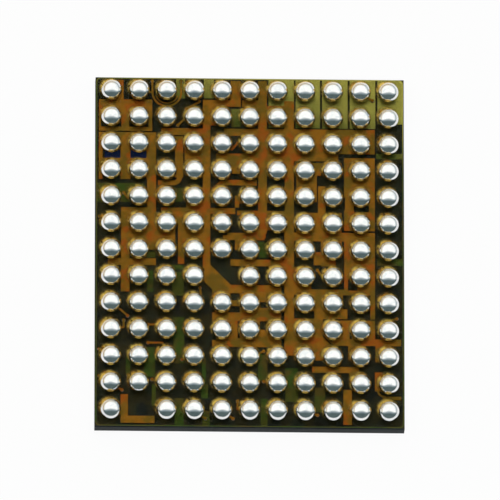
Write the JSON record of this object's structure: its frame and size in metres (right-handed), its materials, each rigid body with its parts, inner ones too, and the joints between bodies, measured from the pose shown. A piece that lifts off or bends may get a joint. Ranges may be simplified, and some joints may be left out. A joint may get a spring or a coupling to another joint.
{
  "type": "bga chip",
  "caption": "Wafer-level ball grid array chip: bare silicon die with routed copper under clear polyimide and a fine grid of solder balls.",
  "frame": {"origin": "under the middle of the die, on the face of its backside film", "axes": "+Z out of the die towards the solder balls, +X along the ball columns from 1 to 11, +Y from ball row N towards row A"},
  "size_m": [0.0044, 0.0052, 0.0005],
  "materials": {
    "backside_film": "matt black laminated film",
    "silicon": "sawn silicon, dark grey with a fine vertical grain",
    "circuit_layers": "glossy dark green-black passivated circuit layers",
    "top_metal": "fine ruled metal, olive under the films",
    "aluminium_pads": "bright bare aluminium",
    "lower_polyimide": "clear amber polyimide",
    "routed_copper": "plated copper with a fine grain",
    "upper_polyimide": "clear amber polyimide, glossy, waved over the copper",
    "ball_metal": "plated copper and nickel",
    "solder": "bright reflowed tin-silver solder"
  },
  "bodies": {
    "root": {"backside_film": "backside_film", "silicon_die": "silicon", "circuit_layers": "circuit_layers", "seal_ring": "top_metal", "top_metal_straps": "top_metal", "aluminium_pads": "aluminium_pads", "lower_polyimide": "lower_polyimide", "copper_west_plane": "routed_copper", "copper_east_plane": "routed_copper", "copper_north_west_island": "routed_copper", "copper_arc_traces": "routed_copper", "copper_loop": "routed_copper", "copper_crossover": "routed_copper", "copper_inner_island": "routed_copper", "copper_north_east_island": "routed_copper", "copper_south_east_island": "routed_copper", "copper_south_band": "routed_copper", "copper_corner_hook": "routed_copper", "copper_south_strip": "routed_copper", "copper_south_west_frame": "routed_copper", "copper_north_pads": "routed_copper", "copper_east_pads": "routed_copper", "copper_south_pads": "routed_copper", "upper_polyimide": "upper_polyimide", "ball_metal_row_a": "ball_metal", "ball_metal_row_b": "ball_metal", "ball_metal_row_c": "ball_metal", "ball_metal_row_d": "ball_metal", "ball_metal_row_e": "ball_metal", "ball_metal_row_f": "ball_metal", "ball_metal_row_g": "ball_metal", "ball_metal_row_h": "ball_metal", "ball_metal_row_j": "ball_metal", "ball_metal_row_k": "ball_metal", "ball_metal_row_l": "ball_metal", "ball_metal_row_m": "ball_metal", "ball_metal_row_n": "ball_metal", "solder_row_a": "solder", "solder_row_b": "solder", "solder_row_c": "solder", "solder_row_d": "solder", "solder_row_e": "solder", "solder_row_f": "solder", "solder_row_g": "solder", "solder_row_h": "solder", "solder_row_j": "solder", "solder_row_k": "solder", "solder_row_l": "solder", "solder_row_m": "solder", "solder_row_n": "solder"}
  },
  "joints": []
}
